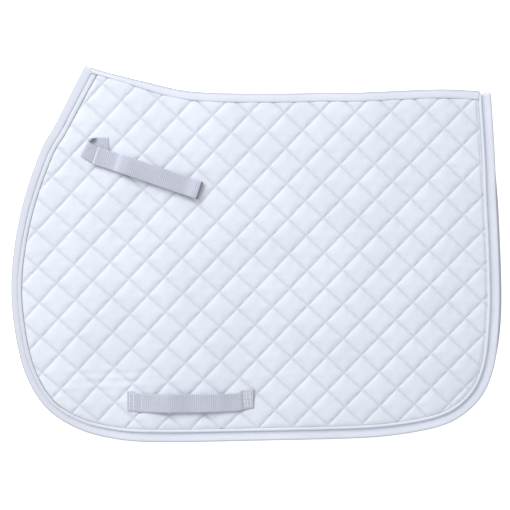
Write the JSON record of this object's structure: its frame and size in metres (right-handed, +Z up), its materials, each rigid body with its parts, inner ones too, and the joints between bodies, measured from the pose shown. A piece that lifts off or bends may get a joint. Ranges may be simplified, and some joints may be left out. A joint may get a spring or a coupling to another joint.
{
  "type": "saddle pad",
  "caption": "Quilted cotton all-purpose saddle pad folded at its contoured spine, with webbing billet straps and girth loops.",
  "frame": {"origin": "middle of the bounding box, on the surface that the folded pad lies on", "axes": "+X along the spine towards the rear of the pad, +Y towards the spine, +Z up out of the near flap's outer face"},
  "size_m": [0.6867, 0.5256, 0.0276],
  "materials": {
    "outer_cotton": "white woven cotton, diamond quilted",
    "lining_cotton": "white woven cotton lining",
    "batting": "polyester batting",
    "binding": "white twill binding tape",
    "piping": "white covered piping cord",
    "webbing": "pale grey ribbed nylon webbing",
    "hook_tape": "hook tape",
    "loop_tape": "loop tape",
    "thread": "polyester sewing thread"
  },
  "bodies": {
    "far_side": {"far_outer_shell": "outer_cotton", "far_padding": "batting", "far_lining": "lining_cotton", "far_edge_binding": "binding", "far_piping": "piping", "far_strap_tab": "webbing", "far_strap_tab_stitching": "thread", "far_girth_loop": "webbing", "far_girth_front_stitching": "thread", "far_girth_rear_stitching": "thread"},
    "spine_outer": {"spine_tape": "binding"},
    "near_side": {"near_outer_shell": "outer_cotton", "near_padding": "batting", "near_lining": "lining_cotton", "near_edge_binding": "binding", "near_piping": "piping", "near_strap_tab": "webbing", "near_strap_tab_stitching": "thread", "near_girth_loop": "webbing", "near_girth_front_stitching": "thread", "near_girth_rear_stitching": "thread"},
    "spine_inner": {"spine_facing": "binding"},
    "near_strap_under": {"near_strap_under_leg": "webbing", "near_strap_loop_patch": "loop_tape"},
    "near_strap_top": {"near_strap_top_leg": "webbing", "near_strap_hook_patch": "hook_tape"},
    "far_strap_under": {"far_strap_under_leg": "webbing", "far_strap_loop_patch": "loop_tape"},
    "far_strap_top": {"far_strap_top_leg": "webbing", "far_strap_hook_patch": "hook_tape"}
  },
  "joints": [
    {"name": "spine_fold", "type": "hinge", "parent": "far_side", "child": "near_side", "pos_m": [0.047, 0.2476, 0.0094], "axis": [-0.9983, 0.0584, 0], "range_deg": [0, 120]},
    {"name": "spine_outer_turn", "type": "hinge", "parent": "far_side", "child": "spine_outer", "pos_m": [0.047, 0.2476, 0.0094], "axis": [-0.9983, 0.0584, 0], "range_deg": [0, 60], "deforming": ["spine_tape"]},
    {"name": "spine_inner_turn", "type": "hinge", "parent": "near_side", "child": "spine_inner", "pos_m": [0.047, 0.2476, 0.0094], "axis": [0.9983, -0.0584, 0], "range_deg": [0, 60], "deforming": ["spine_facing"]},
    {"name": "near_strap_lift", "type": "hinge", "parent": "near_side", "child": "near_strap_under", "pos_m": [-0.241, 0.1434, 0.02042], "axis": [-0.3156, -0.9489, 0], "range_deg": [0, 110]},
    {"name": "near_strap_open", "type": "hinge", "parent": "near_strap_under", "child": "near_strap_top", "pos_m": [-0.08064, 0.09005, 0.02417], "axis": [0.3156, 0.9489, 0], "range_deg": [0, 150]},
    {"name": "far_strap_lift", "type": "hinge", "parent": "far_side", "child": "far_strap_under", "pos_m": [-0.241, 0.1434, 0.00458], "axis": [0.3156, 0.9489, 0], "range_deg": [0, 110]},
    {"name": "far_strap_open", "type": "hinge", "parent": "far_strap_under", "child": "far_strap_top", "pos_m": [-0.08064, 0.09005, 0.00222], "axis": [-0.3156, -0.9489, 0], "range_deg": [0, 120]}
  ],
  "couplings": [
    {"joint": "spine_outer_turn", "follows": "spine_fold", "ratio": 0.5},
    {"joint": "spine_inner_turn", "follows": "spine_fold", "ratio": 0.5}
  ]
}
